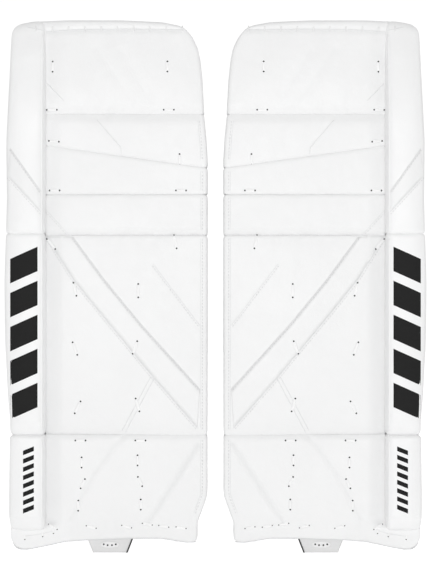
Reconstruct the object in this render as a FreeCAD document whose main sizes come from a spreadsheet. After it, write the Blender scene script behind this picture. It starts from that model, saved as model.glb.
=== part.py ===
"""A pair of ice-hockey goalie leg pads, junior size, standing side by side on their toe ends.

Axes: +Z up the leg, -Y the way the face looks, X across the pair. The origin is on the floor under the
middle of the pair. "Right" and "left" are the wearer's legs: the right-leg pad stands at -X and the left-leg
pad at +X. Each pad is four padded sections (boot, shin, knee, thigh) that flex about three horizontal breaks.
Behind them stand the padded wings that close round the leg, and the bands that hold the wings shut.

Distances across one pad are measured outwards from the middle of the pair, and are called "out" below.
"""

import FreeCAD, Part
import os

import Sketcher

SIDES = {"right": -1, "left": 1}

# alias: (value in millimetres or degrees, what it is)
DIMENSIONS = {
    "pad_gap": (22, "free space between the two pads"),
    "pad_width": (282, "widest outside width of one pad"),
    "roll_width": (56, "width of the outer roll"),
    "overall_height": (741, "floor to the top of the thigh rise"),
    "half_depth": (95, "half of the depth from the outer roll's front to the calf straps' back"),
    "roll_rise": (20, "how far the outer roll stands in front of the face"),
    "core_depth": (50, "thickness of the foam core"),
    "hinge_inset": (13, "how far the fold lines lie behind the face"),
    "break_clear": (0.4, "half of the slit at a fold line"),
    "boot_break": (165, "height of the ankle fold"),
    "knee_break": (445, "height of the fold under the knee"),
    "thigh_break": (612, "height of the fold over the knee"),
    "boot_close": (15, "half of the angle by which the ankle fold closes at the front"),
    "boot_open": (5, "half of the angle by which the ankle fold opens at the front"),
    "knee_close": (5, "half of the angle by which a knee fold closes at the front"),
    "knee_open": (10, "half of the angle by which a knee fold closes at the back"),
    "lower_seam": (500, "height of the seam over the lower knee roll"),
    "slant_outer": (569, "height of the slanting seam at the outer roll"),
    "slant_inner": (537, "height of the slanting seam at the inner edge"),
    "seam_slit": (0.5, "half of the slit between two knee rolls"),
    "edge_taper": (8, "how much the inner edge draws in at the thigh"),
    "liner_depth": (8, "thickness of the leg channel's lining"),
    "liner_out_low": (66, "inner edge of the calf and boot linings"),
    "liner_out_high": (212, "outer edge of the calf and boot linings"),
    "wing_depth": (20, "thickness of a calf or boot wing"),
    "outer_wing_out": (234, "outside of the outer calf and boot wings"),
    "inner_wing_out": (45, "outside of the inner calf and boot wings"),
    "wing_slit": (1, "slit between a wing and the core"),
    "strap_depth": (3.5, "thickness of a strap"),
    "strap_slit": (0.5, "slit between a strap and the wing under it"),
    "calf_low": (185, "bottom of the calf wings"),
    "calf_high": (416, "top of the calf wings"),
    "boot_wing_high": (146, "top of the boot wings"),
    "boot_wing_back": (85, "back of the boot wings"),
    "boot_wing_foot": (26, "length of the edge on which a boot wing stands"),
    "knee_back": (62, "back of the knee block and knee wing"),
    "knee_wing_out": (238, "outside of the knee wing"),
    "knee_wing_depth": (16, "thickness of the knee wing"),
    "knee_block_low": (470, "bottom of the knee block"),
    "knee_block_high": (600, "top of the knee block"),
    "knee_block_in": (15, "inner side of the knee block"),
    "knee_block_out": (78, "outer side of the knee block"),
    "toe_mid": (22, "height of the toe edge's middle"),
    "toe_corner": (8, "height of the toe edge's outer corner"),
    "toe_strip": (32, "height of the strip under the boot's outer roll"),
    "toe_round": (11, "radius of the toe edge's outer corner"),
    "top_round": (20, "radius of the thigh rise's inner corner"),
    "roll_top_round": (13, "radius of the outer roll's top corner"),
    "roll_round": (20, "radius along a roll's outer front edge"),
    "wing_round": (5, "radius along a wing's back edges"),
    "block_round": (9, "radius of the knee block's edges"),
    "bridge_top_width": (63, "width of the toe bridge where it leaves the boot"),
    "bridge_low_width": (48, "width of the toe bridge's bottom edge"),
    "bridge_depth": (6, "thickness of the toe bridge"),
    "bridge_recess": (6, "how far the toe bridge lies behind the face"),
    "bridge_tuck": (28, "how far the toe bridge is tucked into the boot"),
    "bridge_out": (147.5, "middle of the toe bridge"),
    "boss_rise": (1.2, "how far the boss round the lace holes stands out of the toe bridge"),
    "boss_width": (27, "width of that boss"),
    "boss_height": (9, "height of that boss"),
    "lace_hole": (2.8, "diameter of a toe lace hole"),
    "lace_outer_pair": (18.6, "distance between the two outer lace holes"),
    "lace_inner_pair": (6.6, "distance between the two inner lace holes"),
    "lace_outer_height": (11.5, "height of the two outer lace holes"),
    "lace_inner_height": (10.3, "height of the two inner lace holes"),
    "sheet_depth": (2, "thickness of the shin's stiffening sheet"),
    "sheet_fit": (0.1, "slit round the stiffening sheet"),
    "sheet_width": (180, "width of the stiffening sheet"),
    "sheet_length": (225, "length of the stiffening sheet"),
    "lace_radius": (1.6, "radius of the white lace"),
    "lace_stitch": (14, "length of one lace stitch on the face"),
    "lace_whip": (9, "length of one stitch of the whipping along the top edge"),
}

# The lace stitches on each section's face: how far out, how high, and the lean from upright in degrees,
# positive where the stitch's top end lies further out than its bottom end.
WHIPPING = [(46 + 22.65 * n, 730.5, -25) for n in range(10)]
THIGH_STITCHES = [(226.8, 678, 0), (67, 678, 0), (228, 618, 90), (65, 618, 90)]
KNEE_STITCHES = [(225, 574, 85), (50, 549, 0), (224, 505.5, 90), (48, 505.5, 90)]
SHIN_STITCHES = [(229, 431, 40), (56, 434, 12), (195.5, 368, 13), (107.4, 366, 0), (195.5, 285.5, 20),
                 (112, 287, -20), (192, 203.5, -26), (108.5, 207, 16)]
BOOT_STITCHES = [(188, 157.5, 90), (104.5, 157.5, 90), (186.3, 127, 0), (108.5, 130, 0), (184.6, 97.5, -25),
                 (105, 100.5, 25), (191, 67, 0), (104, 68.5, 0), (226.6, 37, 60), (173, 37, 75),
                 (123.7, 37.5, 75), (95, 41, 80), (72, 38, 80), (48, 36, 80)]

FACE = "(dims.roll_rise - dims.half_depth)"
CORE_BACK = f"({FACE} + dims.core_depth)"
HINGE = f"({FACE} + dims.hinge_inset)"
INNER_EDGE = "(dims.pad_gap / 2)"
OUTER_EDGE = f"({INNER_EDGE} + dims.pad_width)"
ROLL_EDGE = f"({OUTER_EDGE} - dims.roll_width)"
WING_FRONT = f"({CORE_BACK} + dims.wing_slit)"
CALF_WING_BACK = "(dims.half_depth - dims.strap_depth - dims.strap_slit)"


def make_sheet(doc):
    """The driving dimensions, one row each, with the alias that every expression uses."""
    sheet = doc.addObject("Spreadsheet::Sheet", "dims")
    for row, (alias, (value, meaning)) in enumerate(DIMENSIONS.items(), start=1):
        sheet.set(f"A{row}", meaning)
        sheet.set(f"B{row}", str(value))
        sheet.setAlias(f"B{row}", alias)
    doc.recompute()
    return sheet


def number(doc, expression):
    """What an expression comes to now. A plain number is its own value."""
    value = doc.dims.evalExpression(str(expression))
    return float(getattr(value, "Value", value))


def across(side, out):
    """The X of a point that lies "out" from the middle of the pair."""
    return f"({SIDES[side]} * ({out}))"


def low_x(side, out_low, out_high):
    """The smaller X of a slice from out_low to out_high."""
    return across(side, out_low if SIDES[side] > 0 else out_high)


def new_body(doc, label):
    body = doc.addObject("PartDesign::Body", label)
    body.Label = label
    return body


def plane_of(body, role):
    return next(f for f in body.Origin.OriginFeatures if f.Role == role)


def new_sketch(body, role, offset):
    """An empty sketch on one of the body's own origin planes, moved along that plane's normal by offset."""
    sketch = body.newObject("Sketcher::SketchObject", "sketch")
    sketch.AttachmentSupport = [(plane_of(body, role), "")]
    sketch.MapMode = "FlatFace"
    sketch.setExpression("AttachmentOffset.Base.z", str(offset))
    return sketch


def pin_point(sketch, geometry, position, name, point):
    """Ties one point of the sketch to two expressions, its distances from the sketch's origin."""
    doc = sketch.Document
    for letter, kind, expression in zip("ab", ("DistanceX", "DistanceY"), point):
        constraint = Sketcher.Constraint(kind, -1, 1, geometry, position, number(doc, expression))
        index = sketch.addConstraint(constraint)
        sketch.renameConstraint(index, name + letter)
        sketch.setExpression(f"Constraints.{name}{letter}", str(expression))


def outline(body, role, offset, points):
    """A closed sketch with straight sides through points, each a pair of expressions in the plane."""
    doc = body.Document
    sketch = new_sketch(body, role, offset)
    corners = [FreeCAD.Vector(number(doc, a), number(doc, b), 0) for a, b in points]
    count = len(corners)
    for i in range(count):
        sketch.addGeometry(Part.LineSegment(corners[i], corners[(i + 1) % count]), False)
    for i in range(count):
        sketch.addConstraint(Sketcher.Constraint("Coincident", i, 2, (i + 1) % count, 1))
        pin_point(sketch, i, 1, f"p{i}", points[i])
    return sketch


def pad(body, sketch, length, backwards=False):
    feature = body.newObject("PartDesign::Pad", "pad")
    feature.Profile = sketch
    feature.Reversed = backwards
    feature.setExpression("Length", str(length))
    sketch.Visibility = False
    body.Document.recompute()
    return feature


def pocket(body, sketch, backwards=False, length=None):
    """Cuts the sketch out of the body: both ways through everything, or one way by length."""
    doc = body.Document
    before = body.Shape.Volume
    feature = body.newObject("PartDesign::Pocket", "pocket")
    feature.Profile = sketch
    if length is None:
        feature.Type = "ThroughAll"
        feature.Midplane = True
    else:
        feature.Reversed = backwards
        feature.setExpression("Length", str(length))
    sketch.Visibility = False
    doc.recompute()
    if body.Shape.Volume >= before - 1e-3:
        raise RuntimeError(f"{body.Label}: a pocket cut nothing")
    return feature


def side_slab(doc, label, side, out_low, out_high, profile):
    """A slice of constant side view, from out_low to out_high: profile holds (y, z) expressions."""
    body = new_body(doc, label)
    sketch = outline(body, "YZ_Plane", low_x(side, out_low, out_high), profile)
    pad(body, sketch, f"({out_high}) - ({out_low})")
    return body


def front_slab(doc, label, side, y_front, y_back, profile):
    """A slab of constant front view, from y_front to y_back: profile holds (out, z) expressions."""
    body = new_body(doc, label)
    points = [(across(side, out), z) for out, z in profile]
    sketch = outline(body, "XZ_Plane", f"-({y_front})", points)
    pad(body, sketch, f"({y_back}) - ({y_front})", backwards=True)
    return body


def trim_front(body, side, profile):
    """Cuts a front-view outline right through the body."""
    points = [(across(side, out), z) for out, z in profile]
    pocket(body, outline(body, "XZ_Plane", 0, points))


def round_edges(body, radius, wanted):
    """Fillets the edges for which wanted(edge) is true."""
    edges = [f"Edge{i}" for i, e in enumerate(body.Shape.Edges, start=1) if wanted(e)]
    if not edges:
        raise RuntimeError(f"{body.Label}: no edge to round")
    rounded = body.Tip
    fillet = body.newObject("PartDesign::Fillet", "fillet")
    fillet.Base = (rounded, edges)
    fillet.setExpression("Radius", str(radius))
    body.Tip = fillet
    body.Document.recompute()
    return fillet


def direction(edge):
    ends = edge.valueAt(edge.FirstParameter), edge.valueAt(edge.LastParameter)
    line = ends[1] - ends[0]
    return line.normalize() if line.Length > 1e-6 else line


def along(axis):
    """A test for straight edges that run along one axis."""
    return lambda edge: abs(abs(getattr(direction(edge), axis)) - 1) < 1e-3


def round_corners(body, side, radius, corners):
    """Rounds the corners of a front-view outline that lie at the given (out, z) expressions."""
    doc = body.Document
    spots = [(SIDES[side] * number(doc, out), number(doc, z)) for out, z in corners]

    def at_a_spot(edge):
        place = edge.CenterOfMass
        return along("y")(edge) and any(abs(place.x - x) < 0.5 and abs(place.z - z) < 0.5 for x, z in spots)

    round_edges(body, radius, at_a_spot)


def fold_up(level, front_half_angle, back_half_angle, y_front, y_back):
    """The three points of a section's end that stands over a fold line, front to back.

    The end is widest at the fold line and falls away from it, so that the section can tilt both ways.
    """
    front = f"{level} + dims.break_clear + ({HINGE} - ({y_front})) * tan({front_half_angle} * 1deg)"
    back = f"{level} + dims.break_clear + (({y_back}) - {HINGE}) * tan({back_half_angle} * 1deg)"
    return [(y_front, front), (HINGE, f"{level} + dims.break_clear"), (y_back, back)]


def fold_down(level, front_half_angle, back_half_angle, y_front, y_back):
    """The three points of a section's end that hangs under a fold line, back to front."""
    front = f"{level} - dims.break_clear - ({HINGE} - ({y_front})) * tan({front_half_angle} * 1deg)"
    back = f"{level} - dims.break_clear - (({y_back}) - {HINGE}) * tan({back_half_angle} * 1deg)"
    return [(y_back, back), (HINGE, f"{level} - dims.break_clear"), (y_front, front)]


def boot_fold(make, y_front, y_back=CORE_BACK):
    return make("dims.boot_break", "dims.boot_close", "dims.boot_open", y_front, y_back)


def knee_fold(make, level, y_front, y_back=CORE_BACK):
    return make(level, "dims.knee_close", "dims.knee_open", y_front, y_back)


# ---- boot section ----


def boot_core(doc, side):
    """The boot's foam: full width at the toe strip, and beside the outer roll above it."""
    low, beyond = "(dims.toe_corner - 2)", f"({OUTER_EDGE} + 5)"
    profile = [(FACE, low), (CORE_BACK, low)] + boot_fold(fold_down, FACE)
    body = side_slab(doc, f"boot_core_{side}", side, INNER_EDGE, OUTER_EDGE, profile)
    trim_front(body, side, [
        (ROLL_EDGE, "dims.toe_strip"), (beyond, "dims.toe_strip"),
        (beyond, "dims.boot_break + 5"), (ROLL_EDGE, "dims.boot_break + 5"),
    ])
    outer_corner = (f"{OUTER_EDGE} - 6", "dims.toe_corner")
    trim_front(body, side, [
        (beyond, "-5"), (beyond, "dims.toe_strip"), (f"{OUTER_EDGE} - 6", "dims.toe_strip"), outer_corner,
        (f"{OUTER_EDGE} - 31", "dims.toe_corner"), (f"{ROLL_EDGE} - 22", "dims.toe_mid - 5"),
        (f"{ROLL_EDGE} - 56", "dims.toe_mid - 2"), (f"{INNER_EDGE} + 107", "dims.toe_mid"),
        (f"{INNER_EDGE} + 65", "dims.toe_mid + 1"), (f"{INNER_EDGE} + 30", "dims.toe_mid - 3"),
        (f"{INNER_EDGE} + 14", "dims.toe_mid - 4"), (f"{INNER_EDGE} + 14", "dims.toe_mid + 24"),
        (INNER_EDGE, "dims.toe_mid + 62"), (f"{INNER_EDGE} - 5", "dims.toe_mid + 62"),
        (f"{INNER_EDGE} - 5", "-5"),
    ])
    round_corners(body, side, "dims.toe_round", [outer_corner])
    slot = outline(body, "XZ_Plane", f"-({FACE} + dims.bridge_recess)", [
        (across(side, "dims.bridge_out - dims.bridge_top_width / 2"), "-1"),
        (across(side, "dims.bridge_out + dims.bridge_top_width / 2"), "-1"),
        (across(side, "dims.bridge_out + dims.bridge_top_width / 2"), "dims.toe_mid + dims.bridge_tuck"),
        (across(side, "dims.bridge_out - dims.bridge_top_width / 2"), "dims.toe_mid + dims.bridge_tuck"),
    ])
    pocket(body, slot, length="dims.bridge_depth")
    return body


def boot_outer_roll(doc, side):
    front = "-dims.half_depth"
    profile = [(front, "dims.toe_strip + 14"), (f"{front} + 16", "dims.toe_strip + 0.5"),
               (CORE_BACK, "dims.toe_strip + 0.5")] + boot_fold(fold_down, front)
    body = side_slab(doc, f"boot_outer_roll_{side}", side, ROLL_EDGE, f"{OUTER_EDGE} - 5", profile)
    round_roll(body, side)
    return body


def round_roll(body, side):
    """Rounds a roll's outer front edge widely and its inner front edge a little."""
    front = min(v.Y for v in body.Shape.Vertexes)
    middle = body.Shape.BoundBox.Center.x
    outer = SIDES[side]

    def at_front(edge, sign):
        point = edge.CenterOfMass
        return along("z")(edge) and abs(point.y - front) < 0.5 and sign * (point.x - middle) > 0

    round_edges(body, "dims.roll_round", lambda e: at_front(e, outer))
    round_edges(body, "dims.roll_round / 3", lambda e: at_front(e, -outer))


def round_back(body, back):
    """Rounds the two upright edges along a wing's back."""
    level = number(body.Document, back)
    round_edges(body, "dims.wing_round", lambda e: along("z")(e) and abs(e.CenterOfMass.y - level) < 0.5)


def boot_liner(doc, side):
    return front_slab(doc, f"boot_liner_{side}", side, CORE_BACK, f"{CORE_BACK} + dims.liner_depth", [
        ("dims.liner_out_low", "dims.toe_mid + 20"), ("dims.liner_out_high", "dims.toe_mid + 20"),
        ("dims.liner_out_high", "dims.boot_break - 20"), ("dims.liner_out_low", "dims.boot_break - 20"),
    ])


def boot_wing(doc, side, which, out_low):
    """A padded side wall behind the boot. Its back corner reaches the floor, and the pad stands on it."""
    back = "dims.boot_wing_back"
    profile = [
        (WING_FRONT, "dims.toe_mid + 4"), (f"{back} - dims.boot_wing_foot", "0"), (back, "0"),
        (back, "dims.boot_wing_high - 14"), (f"{back} - 14", "dims.boot_wing_high"),
        (WING_FRONT, "dims.boot_wing_high"),
    ]
    body = side_slab(doc, f"boot_wing_{which}_{side}", side, out_low, f"{out_low} + dims.wing_depth", profile)
    round_back(body, back)
    return body


def toe_bridge(doc, side):
    """The plastic tab at the toe, with a boss on its front and four holes in it for the toe lace."""
    front = f"({FACE} + dims.bridge_recess)"
    low, high = "dims.bridge_low_width / 2", "dims.bridge_top_width / 2"
    body = front_slab(doc, f"toe_bridge_{side}", side, front, f"{front} + dims.bridge_depth", [
        (f"dims.bridge_out - {low}", "0"), (f"dims.bridge_out + {low}", "0"),
        (f"dims.bridge_out + {high}", "dims.toe_mid"),
        (f"dims.bridge_out + {high}", "dims.toe_mid + dims.bridge_tuck"),
        (f"dims.bridge_out - {high}", "dims.toe_mid + dims.bridge_tuck"),
        (f"dims.bridge_out - {high}", "dims.toe_mid"),
    ])
    half_width, half_height = "dims.boss_width / 2", "dims.boss_height / 2"
    corners = [
        (f"dims.bridge_out - {half_width}", f"dims.lace_outer_height - {half_height}"),
        (f"dims.bridge_out + {half_width}", f"dims.lace_outer_height - {half_height}"),
        (f"dims.bridge_out + {half_width}", f"dims.lace_outer_height + {half_height}"),
        (f"dims.bridge_out - {half_width}", f"dims.lace_outer_height + {half_height}"),
    ]
    boss = outline(body, "XZ_Plane", f"-{front}", [(across(side, out), z) for out, z in corners])
    pad(body, boss, "dims.boss_rise")
    round_corners(body, side, f"{half_height} - 0.1", corners)
    round_corners(body, side, "3", [(f"dims.bridge_out - {low}", "0"), (f"dims.bridge_out + {low}", "0")])
    pocket(body, lace_hole_sketch(body, side))
    return body


def lace_hole_sketch(body, side):
    """Four circles, an outer pair and an inner pair, about the middle of the toe bridge."""
    doc = body.Document
    sketch = new_sketch(body, "XZ_Plane", 0)
    middle = across(side, "dims.bridge_out")
    places = [(f"{middle} {sign} dims.lace_{pair}_pair / 2", f"dims.lace_{pair}_height")
              for pair in ("outer", "inner") for sign in "-+"]
    for n, place in enumerate(places):
        centre = FreeCAD.Vector(number(doc, place[0]), number(doc, place[1]), 0)
        circle = Part.Circle(centre, FreeCAD.Vector(0, 0, 1), number(doc, "dims.lace_hole / 2"))
        sketch.addGeometry(circle, False)
        pin_point(sketch, n, 3, f"hole{n}", place)
        width = sketch.addConstraint(Sketcher.Constraint("Diameter", n, number(doc, "dims.lace_hole")))
        sketch.renameConstraint(width, f"width{n}")
        sketch.setExpression(f"Constraints.width{n}", "dims.lace_hole")
    return sketch


# ---- shin section ----


def shin_core(doc, side):
    """The shin's foam, with a slot from its top end for the stiffening sheet."""
    profile = boot_fold(fold_up, FACE) + knee_fold(fold_down, "dims.knee_break", FACE)
    body = side_slab(doc, f"shin_core_{side}", side, INNER_EDGE, ROLL_EDGE, profile)
    slot = outline(body, "XY_Plane", "dims.knee_break", sheet_section(side, "dims.sheet_fit"))
    pocket(body, slot, length="dims.sheet_length + 4")
    return body


def sheet_section(side, slack):
    """The stiffening sheet's cross-section, made larger all round by slack."""
    middle = f"(({INNER_EDGE} + {ROLL_EDGE}) / 2)"
    half = f"(dims.sheet_width / 2 + {slack})"
    front = f"({HINGE} + 6 - {slack})"
    back = f"({HINGE} + 6 + dims.sheet_depth + {slack})"
    low, high = f"{across(side, middle)} - {half}", f"{across(side, middle)} + {half}"
    return [(low, front), (high, front), (high, back), (low, back)]


def shin_stiffener(doc, side):
    body = new_body(doc, f"shin_stiffener_{side}")
    top = "(dims.knee_break - 3)"
    section = outline(body, "XY_Plane", f"{top} - dims.sheet_length", sheet_section(side, "0"))
    pad(body, section, "dims.sheet_length")
    round_edges(body, 8, along("y"))
    return body


def shin_outer_roll(doc, side):
    front = "-dims.half_depth"
    profile = boot_fold(fold_up, front) + knee_fold(fold_down, "dims.knee_break", front)
    body = side_slab(doc, f"shin_outer_roll_{side}", side, ROLL_EDGE, OUTER_EDGE, profile)
    round_roll(body, side)
    return body


def shin_liner(doc, side):
    return front_slab(doc, f"shin_liner_{side}", side, CORE_BACK, f"{CORE_BACK} + dims.liner_depth", [
        ("dims.liner_out_low", "dims.calf_low"), ("dims.liner_out_high", "dims.calf_low"),
        ("dims.liner_out_high", "dims.calf_high"), ("dims.liner_out_low", "dims.calf_high"),
    ])


def calf_wing(doc, side, which, out_low):
    back = CALF_WING_BACK
    profile = [
        (WING_FRONT, "dims.calf_low"), (f"{back} - 22", "dims.calf_low"), (back, "dims.calf_low + 22"),
        (back, "dims.calf_high - 30"), (f"{back} - 30", "dims.calf_high"), (WING_FRONT, "dims.calf_high"),
    ]
    body = side_slab(doc, f"calf_wing_{which}_{side}", side, out_low, f"{out_low} + dims.wing_depth", profile)
    round_back(body, back)
    return body


# ---- knee section ----


def knee_roll_lower(doc, side):
    profile = knee_fold(fold_up, "dims.knee_break", FACE)
    profile += [(CORE_BACK, "dims.lower_seam - dims.seam_slit"), (FACE, "dims.lower_seam - dims.seam_slit")]
    return side_slab(doc, f"knee_roll_lower_{side}", side, INNER_EDGE, ROLL_EDGE, profile)


def knee_roll_middle(doc, side):
    return front_slab(doc, f"knee_roll_middle_{side}", side, FACE, CORE_BACK, [
        (INNER_EDGE, "dims.lower_seam + dims.seam_slit"), (ROLL_EDGE, "dims.lower_seam + dims.seam_slit"),
        (ROLL_EDGE, "dims.slant_outer - dims.seam_slit"), (INNER_EDGE, "dims.slant_inner - dims.seam_slit"),
    ])


def knee_roll_upper(doc, side):
    profile = [(FACE, "dims.slant_inner"), (CORE_BACK, "dims.slant_inner")]
    profile += knee_fold(fold_down, "dims.thigh_break", FACE)
    body = side_slab(doc, f"knee_roll_upper_{side}", side, INNER_EDGE, ROLL_EDGE, profile)
    trim_front(body, side, [
        (INNER_EDGE, "dims.slant_inner + dims.seam_slit"), (ROLL_EDGE, "dims.slant_outer + dims.seam_slit"),
        (ROLL_EDGE, "dims.slant_inner - 5"), (INNER_EDGE, "dims.slant_inner - 5"),
    ])
    return body


def knee_outer_roll(doc, side):
    front = "-dims.half_depth"
    profile = knee_fold(fold_up, "dims.knee_break", front)
    profile += knee_fold(fold_down, "dims.thigh_break", front)
    body = side_slab(doc, f"knee_outer_roll_{side}", side, ROLL_EDGE, f"{OUTER_EDGE} - 2", profile)
    round_roll(body, side)
    return body


def knee_block(doc, side):
    """The block on the inner side that the knee lands on."""
    body = front_slab(doc, f"knee_block_{side}", side, CORE_BACK, "dims.knee_back", [
        ("dims.knee_block_in", "dims.knee_block_low"), ("dims.knee_block_out", "dims.knee_block_low"),
        ("dims.knee_block_out", "dims.knee_block_high"), ("dims.knee_block_in", "dims.knee_block_high"),
    ])
    round_edges(body, "dims.block_round", lambda e: along("y")(e) or along("z")(e) and e.CenterOfMass.y > 0)
    return body


def knee_cradle(doc, side):
    return front_slab(doc, f"knee_cradle_{side}", side, CORE_BACK, f"{CORE_BACK} + dims.liner_depth + 4", [
        ("dims.knee_block_out + 4", "dims.knee_break + 17"),
        ("dims.knee_wing_out - dims.knee_wing_depth - 6", "dims.knee_break + 17"),
        ("dims.knee_wing_out - dims.knee_wing_depth - 6", "dims.thigh_break - 17"),
        ("dims.knee_block_out + 4", "dims.thigh_break - 17"),
    ])


def knee_wing(doc, side):
    back = "dims.knee_back"
    low, high = "(dims.knee_block_low + 4)", "(dims.knee_block_high - 4)"
    profile = [
        (WING_FRONT, low), (f"{back} - 18", low), (back, f"{low} + 18"),
        (back, f"{high} - 18"), (f"{back} - 18", high), (WING_FRONT, high),
    ]
    out_low = "dims.knee_wing_out - dims.knee_wing_depth"
    body = side_slab(doc, f"knee_wing_{side}", side, out_low, "dims.knee_wing_out", profile)
    round_back(body, back)
    return body


# ---- thigh section ----


def thigh_core(doc, side):
    """The thigh rise, which draws in towards its arched top."""
    top = "dims.overall_height"
    profile = knee_fold(fold_up, "dims.thigh_break", FACE) + [(CORE_BACK, top), (FACE, top)]
    body = side_slab(doc, f"thigh_core_{side}", side, INNER_EDGE, ROLL_EDGE, profile)
    inner_corner = (f"{INNER_EDGE} + dims.edge_taper + 8", f"{top} - 10")
    trim_front(body, side, [
        (f"{INNER_EDGE} - 5", "dims.thigh_break + 10"), (INNER_EDGE, "dims.thigh_break + 10"),
        (f"{INNER_EDGE} + dims.edge_taper", f"{top} - 60"), inner_corner,
        (f"{INNER_EDGE} + 60", f"{top} - 3"), (f"{INNER_EDGE} + 111", top),
        (f"{INNER_EDGE} + 111", f"{top} + 5"), (f"{INNER_EDGE} - 5", f"{top} + 5"),
    ])
    trim_front(body, side, [
        (f"{ROLL_EDGE} - 44", top), (f"{ROLL_EDGE} + 5", f"{top} - 3"),
        (f"{ROLL_EDGE} + 5", f"{top} + 5"), (f"{ROLL_EDGE} - 44", f"{top} + 5"),
    ])
    round_corners(body, side, "dims.top_round", [inner_corner])
    return body


def thigh_outer_roll(doc, side):
    """The top of the outer roll. It sinks back towards its top until it is level with the face."""
    front, top = "-dims.half_depth", "(dims.overall_height - 3)"
    profile = knee_fold(fold_up, "dims.thigh_break", front)
    profile += [(CORE_BACK, top), (FACE, top), (FACE, f"{top} - 16"), (f"{front} + 6", f"{top} - 44")]
    body = side_slab(doc, f"thigh_outer_roll_{side}", side, ROLL_EDGE, f"{OUTER_EDGE} - 5", profile)
    outer_corner = (f"{OUTER_EDGE} - 9", f"{top} - 7")
    trim_front(body, side, [
        (ROLL_EDGE, top), outer_corner, (f"{OUTER_EDGE} - 5", f"{top} - 60"),
        (f"{OUTER_EDGE} + 2", f"{top} - 60"), (f"{OUTER_EDGE} + 2", f"{top} + 5"), (ROLL_EDGE, f"{top} + 5"),
    ])
    round_corners(body, side, "dims.roll_top_round", [outer_corner])
    return body


def thigh_liner(doc, side):
    return front_slab(doc, f"thigh_liner_{side}", side, CORE_BACK, f"{CORE_BACK} + dims.liner_depth", [
        (f"{INNER_EDGE} + 22", "dims.thigh_break + 20"), (f"{OUTER_EDGE} - 30", "dims.thigh_break + 20"),
        (f"{OUTER_EDGE} - 30", "dims.overall_height - 26"),
        (f"{OUTER_EDGE} - 60", "dims.overall_height - 14"),
        (f"{INNER_EDGE} + 60", "dims.overall_height - 14"),
        (f"{INNER_EDGE} + 22", "dims.overall_height - 26"),
    ])


# ---- straps and laces ----


def strap(doc, label, side, hinge_out, end_out, front, low, width):
    """A band across the back of the leg channel, with a clipped free end that closes on the inner side."""
    return front_slab(doc, f"{label}_{side}", side, front, f"{front} + dims.strap_depth", [
        (hinge_out, low), (hinge_out, f"{low} + {width}"), (f"{end_out} + 8", f"{low} + {width}"),
        (end_out, f"{low} + {width} - 8"), (end_out, f"{low} + 8"), (f"{end_out} + 8", low),
    ])


def lacing(doc, section, side, stitches, length):
    """One bar of white lace, lying on the face, for each (out, z, lean) in stitches. Returns the bars."""
    bars = []
    for n, (out, height, lean) in enumerate(stitches):
        bar = doc.addObject("Part::Cylinder", f"{section}_{side}_stitch_{n}")
        bar.setExpression("Radius", "dims.lace_radius")
        bar.setExpression("Height", length)
        bar.setExpression("Placement.Base.x", across(side, f"{out} - {length} / 2 * sin({lean} * 1deg)"))
        bar.setExpression("Placement.Base.y", f"{FACE} - dims.lace_radius")
        bar.setExpression("Placement.Base.z", f"{height} - {length} / 2 * cos({lean} * 1deg)")
        bar.Placement.Rotation = FreeCAD.Rotation(FreeCAD.Vector(0, SIDES[side], 0), lean)
        bars.append(bar)
    return bars


def lacing_node(doc, section, side, bars):
    group = doc.addObject("Part::Compound", f"{section}_lacing_{side}")
    group.Label = f"{section}_lacing_{side}"
    group.Links = bars
    doc.recompute()
    return group


def thigh_lacing(doc, side):
    """The whipping along the top edge, and the stitches on the thigh rise."""
    whips = lacing(doc, "whip", side, WHIPPING, "dims.lace_whip")
    loops = lacing(doc, "thigh", side, THIGH_STITCHES, "dims.lace_stitch")
    return lacing_node(doc, "thigh", side, whips + loops)


def knee_lacing(doc, side):
    return lacing_node(doc, "knee", side, lacing(doc, "knee", side, KNEE_STITCHES, "dims.lace_stitch"))


def shin_lacing(doc, side):
    return lacing_node(doc, "shin", side, lacing(doc, "shin", side, SHIN_STITCHES, "dims.lace_stitch"))


def boot_lacing(doc, side):
    return lacing_node(doc, "boot", side, lacing(doc, "boot", side, BOOT_STITCHES, "dims.lace_stitch"))


def one_pad(doc, side):
    """Every piece of the pad for one leg."""
    outer = "(dims.outer_wing_out - dims.wing_depth)"
    calf_front = f"({CALF_WING_BACK} + dims.strap_slit)"
    strap_end = "(dims.inner_wing_out + 3)"
    pieces = [make(doc, side) for make in (
        boot_core, boot_outer_roll, boot_liner, toe_bridge, boot_lacing,
        shin_core, shin_stiffener, shin_outer_roll, shin_liner, shin_lacing,
        knee_roll_lower, knee_roll_middle, knee_roll_upper, knee_outer_roll, knee_block, knee_cradle,
        knee_wing, knee_lacing, thigh_core, thigh_outer_roll, thigh_liner, thigh_lacing,
    )]
    for which, out_low in (("outer", outer), ("inner", "dims.inner_wing_out")):
        pieces.append(boot_wing(doc, side, which, out_low))
        pieces.append(calf_wing(doc, side, which, out_low))
    boot_back = "(dims.boot_wing_back + dims.strap_slit)"
    bands = (
        ("boot_strap", "dims.outer_wing_out", strap_end, boot_back, "95", "32"),
        ("calf_strap_lower", "dims.outer_wing_out", strap_end, calf_front, "222", "38"),
        ("calf_strap_upper", "dims.outer_wing_out", strap_end, calf_front, "336", "46"),
        ("knee_strap", "dims.knee_wing_out", "(dims.knee_block_in + 10)",
         "(dims.knee_back + dims.strap_slit)", "512", "42"),
    )
    pieces += [strap(doc, label, side, *rest) for label, *rest in bands]
    return pieces


def check(doc, pieces):
    """Stops the build if an object failed or a piece isn't made of valid solids."""
    failed = [o.Label for o in doc.Objects if {"Invalid", "Error"} & set(o.State)]
    if failed:
        raise RuntimeError(f"failed objects: {failed}")
    for piece in pieces:
        shape = piece.Shape
        if shape.isNull() or not shape.isValid() or not shape.Solids:
            raise RuntimeError(f"{piece.Label} isn't a valid solid")


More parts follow.
